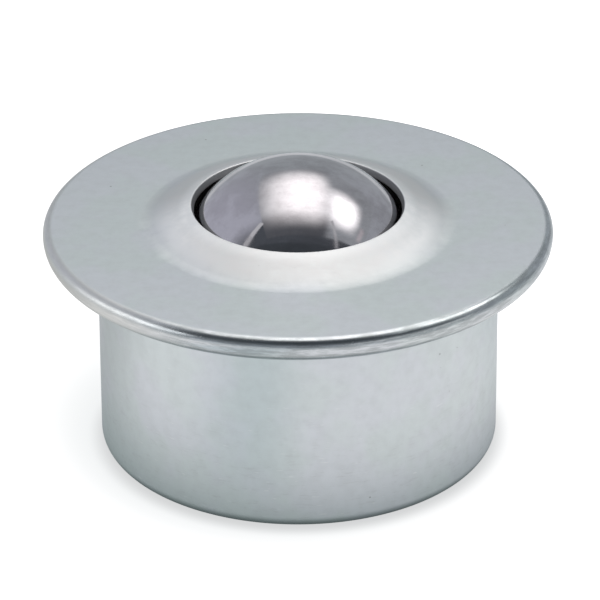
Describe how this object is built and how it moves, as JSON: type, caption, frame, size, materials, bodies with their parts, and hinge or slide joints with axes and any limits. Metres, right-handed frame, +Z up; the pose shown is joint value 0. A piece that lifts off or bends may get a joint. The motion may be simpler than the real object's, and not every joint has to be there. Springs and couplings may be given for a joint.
{
  "type": "ball transfer unit",
  "caption": "Flanged ball transfer unit: a steel load ball turns any way on small support balls in a round pressed-steel housing that drops into a round hole.",
  "frame": {"origin": "middle of the flat base that the unit stands on", "axes": "+Z up along the unit's axis, out of the collar through the load ball; the unit is round, so X and Y are free, and +Y points away from the viewer"},
  "size_m": [0.045, 0.045, 0.0266],
  "materials": {
    "zinc_plated_steel": "satin zinc plating, drawn cup",
    "zinc_plated_steel_cover": "satin zinc plating, fine mottling",
    "hardened_steel": "hardened, ground race",
    "felt": "greased felt",
    "polished_steel": "polished bearing ball",
    "bearing_steel": "polished bearing ball"
  },
  "bodies": {
    "housing": {"housing_cup": "zinc_plated_steel", "ball_pan": "hardened_steel", "felt_seal": "felt", "cover": "zinc_plated_steel_cover"},
    "pivot_ball": {"support_ball_bottom": "bearing_steel"},
    "load_ball": {"load_ball": "polished_steel"},
    "support_balls": {"support_ball_row_1_no_1": "bearing_steel", "support_ball_row_1_no_2": "bearing_steel", "support_ball_row_1_no_3": "bearing_steel", "support_ball_row_1_no_4": "bearing_steel", "support_ball_row_1_no_5": "bearing_steel", "support_ball_row_1_no_6": "bearing_steel", "support_ball_row_2_no_1": "bearing_steel", "support_ball_row_2_no_2": "bearing_steel", "support_ball_row_2_no_3": "bearing_steel", "support_ball_row_2_no_4": "bearing_steel", "support_ball_row_2_no_5": "bearing_steel", "support_ball_row_2_no_6": "bearing_steel", "support_ball_row_2_no_7": "bearing_steel", "support_ball_row_2_no_8": "bearing_steel", "support_ball_row_2_no_9": "bearing_steel", "support_ball_row_2_no_10": "bearing_steel", "support_ball_row_2_no_11": "bearing_steel", "support_ball_row_2_no_12": "bearing_steel", "support_balls_row_3": "bearing_steel", "support_balls_row_4": "bearing_steel", "support_balls_row_5": "bearing_steel", "support_balls_row_6": "bearing_steel"}
  },
  "joints": [
    {"name": "ball_spin", "type": "hinge", "parent": "housing", "child": "pivot_ball", "pos_m": [0, 0, 0.01557], "axis": [0, 0, 1], "continuous": true},
    {"name": "ball_roll", "type": "hinge", "parent": "pivot_ball", "child": "load_ball", "pos_m": [0, 0, 0.01557], "axis": [1, 0, 0], "continuous": true},
    {"name": "support_orbit", "type": "hinge", "parent": "housing", "child": "support_balls", "pos_m": [0, 0, 0.01557], "axis": [0, 0, 1], "continuous": true}
  ],
  "couplings": [
    {"joint": "support_orbit", "follows": "ball_spin", "ratio": 0.4386}
  ]
}
